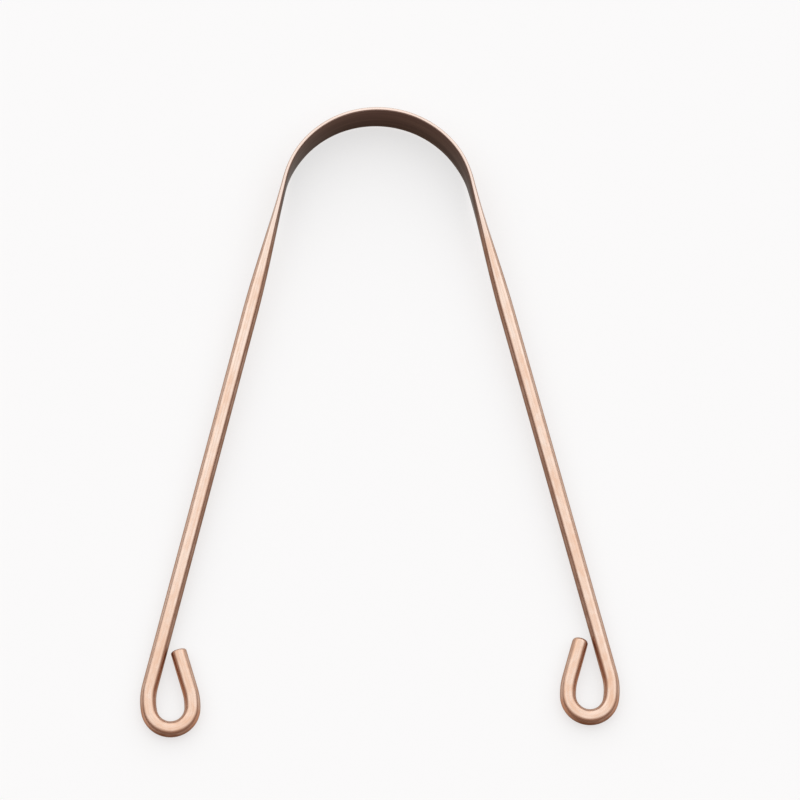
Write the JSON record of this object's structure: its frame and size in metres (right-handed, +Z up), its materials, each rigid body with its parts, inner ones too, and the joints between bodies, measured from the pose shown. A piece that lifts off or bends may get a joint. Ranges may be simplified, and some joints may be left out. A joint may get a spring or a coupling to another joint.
{
  "type": "tongue scraper",
  "caption": "Copper tongue scraper: wire pressed to a thin arched blade, tapering to round splayed spring arms that end in open teardrop finger loops.",
  "frame": {"origin": "on the surface that the scraper lies on, under the middle of its outline", "axes": "+X to the right arm, +Y along the length towards the scraping blade, +Z up"},
  "size_m": [0.0896, 0.124, 0.0092],
  "materials": {
    "copper": "polished drawn copper wire"
  },
  "bodies": {
    "head": {"scraping_blade": "copper", "left_blade_side": "copper", "right_blade_side": "copper"},
    "left_arm": {"left_shoulder": "copper", "left_handle": "copper", "left_finger_loop": "copper", "left_return_end": "copper"},
    "right_arm": {"right_shoulder": "copper", "right_handle": "copper", "right_finger_loop": "copper", "right_return_end": "copper"}
  },
  "joints": [
    {"name": "left_arm_flex", "type": "hinge", "parent": "head", "child": "left_arm", "pos_m": [-0.0121, 0.05317, 0.00449], "axis": [0, -0.0262, 0.9997], "range_deg": [-8, 8], "stiffness_Nm_per_rad": 1.3, "deforming": ["left_blade_side"]},
    {"name": "right_arm_flex", "type": "hinge", "parent": "head", "child": "right_arm", "pos_m": [0.01272, 0.05317, 0.00449], "axis": [0, 0.0262, -0.9997], "range_deg": [-8, 8], "stiffness_Nm_per_rad": 1.3, "deforming": ["right_blade_side"]}
  ]
}
